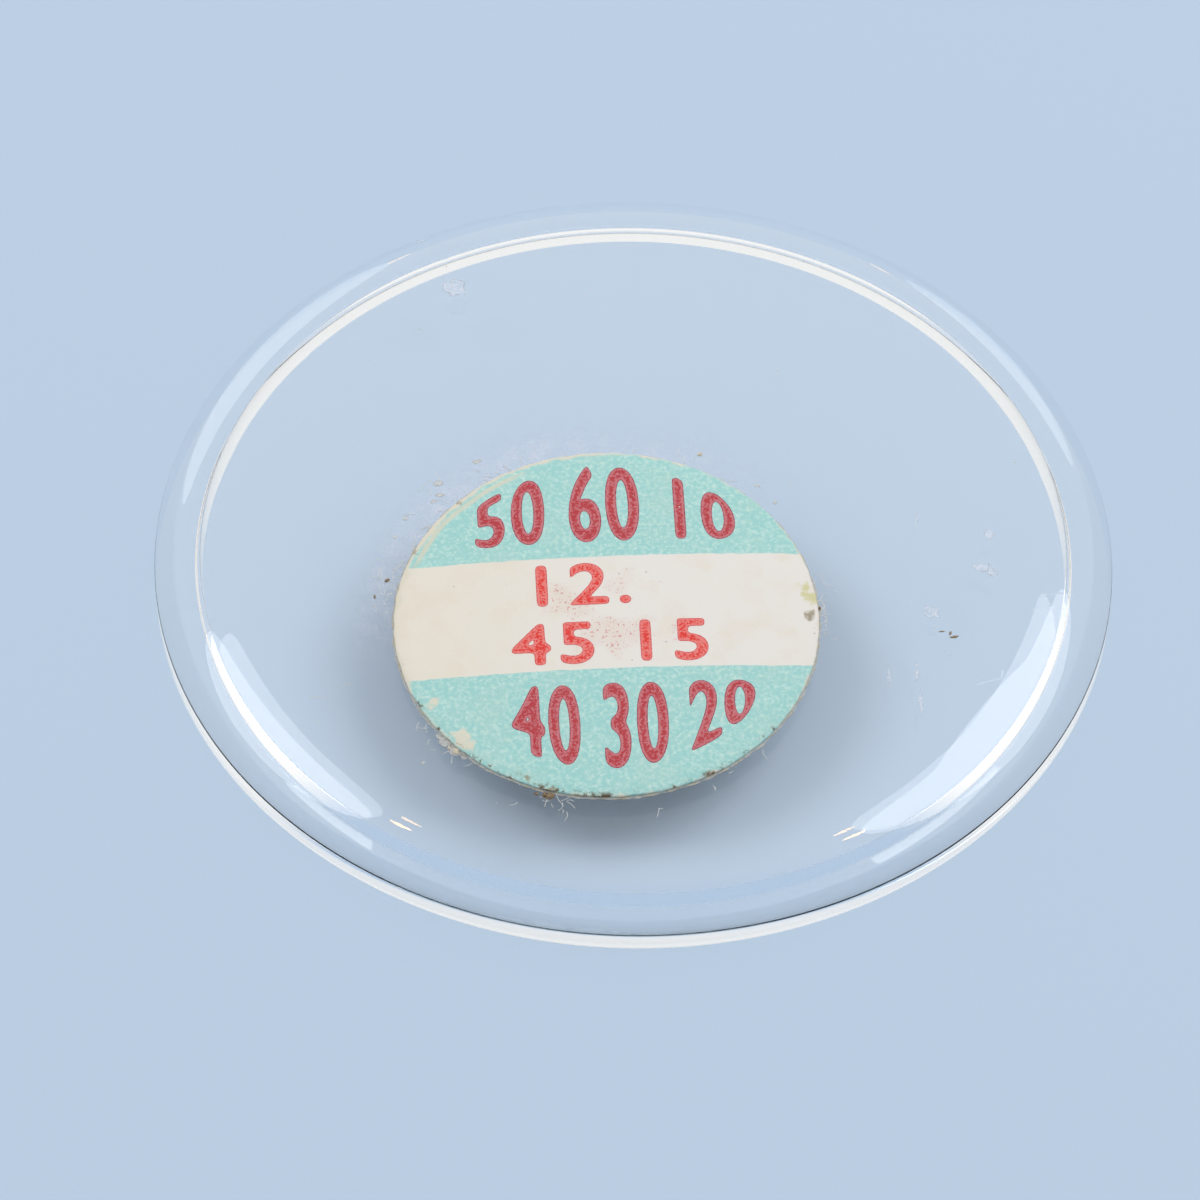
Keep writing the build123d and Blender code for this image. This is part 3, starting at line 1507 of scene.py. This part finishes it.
# %% [markdown]
# ## The room
#
# Clear acrylic shows the room that it stands in. So what is seen directly, in a
# reflection or through the moulding is a backdrop, pale blue on the viewer's side and
# white beyond the crystal, while the floor and the label are lit by a plain, dimmer room.

# %% World
world = bpy.data.worlds.new("studio")
bpy.context.scene.world = world
world.use_nodes = True
tree = world.node_tree
tree.nodes.clear()
light_path = add_node(tree, "ShaderNodeLightPath")
seen = light_path.outputs["Is Camera Ray"]
for ray in ("Is Glossy Ray", "Is Transmission Ray"):
    seen = add_node(
        tree, "ShaderNodeMath", {0: seen, 1: light_path.outputs[ray]}, operation="MAXIMUM"
    )
# The depth is 0 until a matt surface scatters the ray, and 1 after it
unscattered = add_node(
    tree,
    "ShaderNodeMath",
    {0: light_path.outputs["Diffuse Depth"], 1: 0.5},
    operation="LESS_THAN",
)
seen = add_node(tree, "ShaderNodeMath", {0: seen, 1: unscattered}, operation="MULTIPLY")
room_glow = 0.56
room = add_node(tree, "ShaderNodeBackground", {"Color": linear("F2F4F7"), "Strength": room_glow})
direction = add_node(tree, "ShaderNodeTexCoord").outputs["Generated"]
towards_back = add_node(tree, "ShaderNodeSeparateXYZ", {0: direction}).outputs["Y"]
bright_wall = add_node(
    tree,
    "ShaderNodeMapRange",
    {"Value": towards_back, "From Min": -0.35, "From Max": 0.05},
    **eased,
)
seen_colour = lay_over(tree, linear("B4CAE2"), (bright_wall, "FBFAF7"))
backdrop = add_node(tree, "ShaderNodeBackground", {"Color": seen_colour})
both = add_node(tree, "ShaderNodeMixShader", {0: seen, 1: room, 2: backdrop})
add_node(tree, "ShaderNodeOutputWorld", {"Surface": both})
print("world", world.name)

# %% [markdown]
# ## Softboxes and camera
#
# Two round softboxes stand left and right and make the two tapering reflections on the
# shoulder. The small hot sparks beside these are the bulbs. The camera looks down at
# the crystal by fifty degrees from 0.3 m away, and leans a little to one side.

# %% Softboxes and bulbs
lamp_distance = 0.5


def round_lamp(name, height, side, spread, power, colour):
    """A disc lamp that faces the crystal, placed and sized by angles in degrees."""
    upwards, sideways = radians(height), radians(side)
    direction = Vector(
        (cos(upwards) * cos(sideways), cos(upwards) * sin(sideways), sin(upwards))
    )
    lamp = bpy.data.lights.new(name, "AREA")
    lamp.shape = "DISK"
    lamp.size = 2 * lamp_distance * tan(radians(spread) / 2)
    lamp.energy = power
    lamp.color = colour
    stand = bpy.data.objects.new(name, lamp)
    stand.location = direction * lamp_distance
    stand.rotation_euler = direction.to_track_quat("Z", "Y").to_euler()
    bpy.context.scene.collection.objects.link(stand)


white, amber = (1, 1, 1), (1, 0.55, 0.15)
softbox_height = 51
# Watts for each square degree, so that both softboxes glow alike
softbox_glow = 0.41 / 26**2
bulb_height = 70
bulb_spread = 2.2
bulb_power = 0.022
# In degrees: a softbox's side, how wide it looks from the crystal, its bulb's side
for name, side, spread, bulb_side in (("left", 160, 31, 160), ("right", 27, 37, 20)):
    softbox_power = softbox_glow * spread**2
    round_lamp(f"softbox_{name}", softbox_height, side, spread, softbox_power, white)
    round_lamp(f"bulb_{name}", bulb_height, bulb_side, bulb_spread, bulb_power, amber)

# %% Camera
picture_width = 1200
# The scale at the middle of the crystal's foot, which lies at the pixel below
pixels_per_metre = 32960
camera_distance = 0.3
look_down = radians(50.24)
lean = radians(1.067)
base_centre_pixel = (633.2, 571.5)
sensor_width = 36
nearest_seen = 1 * MM

level = Vector((1, 0, 0))
upright = Vector((0, sin(look_down), cos(look_down)))
backwards = Vector((0, -cos(look_down), sin(look_down)))
camera_right = level * cos(lean) + upright * sin(lean)
camera_up = upright * cos(lean) - level * sin(lean)
half = picture_width / 2
slide_right = (base_centre_pixel[0] - half) / pixels_per_metre
slide_up = (half - base_centre_pixel[1]) / pixels_per_metre
eye = backwards * camera_distance - camera_right * slide_right - camera_up * slide_up

camera_data = bpy.data.cameras.new("camera")
camera_data.sensor_width = sensor_width
camera_data.lens = pixels_per_metre * camera_distance / picture_width * sensor_width
camera_data.clip_start = nearest_seen
camera = bpy.data.objects.new("camera", camera_data)
turn = Matrix((camera_right, camera_up, backwards)).transposed().to_4x4()
camera.matrix_world = Matrix.Translation(eye) @ turn
bpy.context.scene.collection.objects.link(camera)
bpy.context.scene.camera = camera
bpy.context.scene.view_settings.view_transform = "Standard"
print("camera", round(camera_data.lens, 1), "mm lens")
